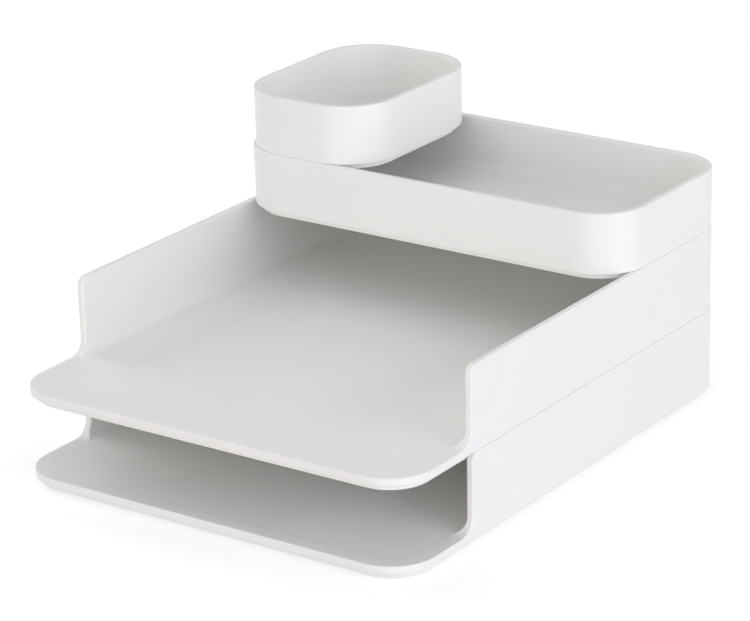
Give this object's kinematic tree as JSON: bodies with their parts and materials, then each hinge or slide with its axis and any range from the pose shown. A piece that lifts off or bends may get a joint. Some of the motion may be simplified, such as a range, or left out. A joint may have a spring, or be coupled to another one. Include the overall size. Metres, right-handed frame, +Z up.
{
  "type": "desktop file sorter",
  "caption": "Stacking desk organiser of white moulded letter trays with projecting front tongues, topped by a half-depth accessory tray and a small open bin.",
  "frame": {"origin": "middle of the footprint, on the desk, under the pads", "axes": "+X to the right seen from the open front, +Y to the back, +Z up"},
  "size_m": [0.248, 0.3156, 0.1636],
  "materials": {
    "white_plastic": "satin white injection-moulded plastic with a very fine texture",
    "pad_rubber": "soft grey non-slip rubber, matt"
  },
  "bodies": {
    "lower_letter_tray": {"lower_letter_tray": "white_plastic", "lower_letter_tray_pad_front_left": "pad_rubber", "lower_letter_tray_pad_front_right": "pad_rubber", "lower_letter_tray_pad_back_left": "pad_rubber", "lower_letter_tray_pad_back_right": "pad_rubber"},
    "upper_letter_tray": {"upper_letter_tray": "white_plastic", "upper_letter_tray_pad_front_left": "pad_rubber", "upper_letter_tray_pad_front_right": "pad_rubber", "upper_letter_tray_pad_back_left": "pad_rubber", "upper_letter_tray_pad_back_right": "pad_rubber"},
    "accessory_tray": {"accessory_tray": "white_plastic", "accessory_tray_pad_front_left": "pad_rubber", "accessory_tray_pad_front_right": "pad_rubber", "accessory_tray_pad_back_left": "pad_rubber", "accessory_tray_pad_back_right": "pad_rubber"},
    "small_bin": {"small_bin": "white_plastic", "small_bin_pad_front_left": "pad_rubber", "small_bin_pad_front_right": "pad_rubber", "small_bin_pad_back_left": "pad_rubber", "small_bin_pad_back_right": "pad_rubber"}
  },
  "joints": [
    {"name": "upper_letter_tray_lift", "type": "slide", "parent": "lower_letter_tray", "child": "upper_letter_tray", "axis": [0, 0, 1], "range_m": [0, 0.06]},
    {"name": "accessory_tray_lift", "type": "slide", "parent": "upper_letter_tray", "child": "accessory_tray", "axis": [0, 0, 1], "range_m": [0, 0.06]},
    {"name": "small_bin_lift", "type": "slide", "parent": "accessory_tray", "child": "small_bin", "axis": [0, 0, 1], "range_m": [0, 0.06]}
  ]
}
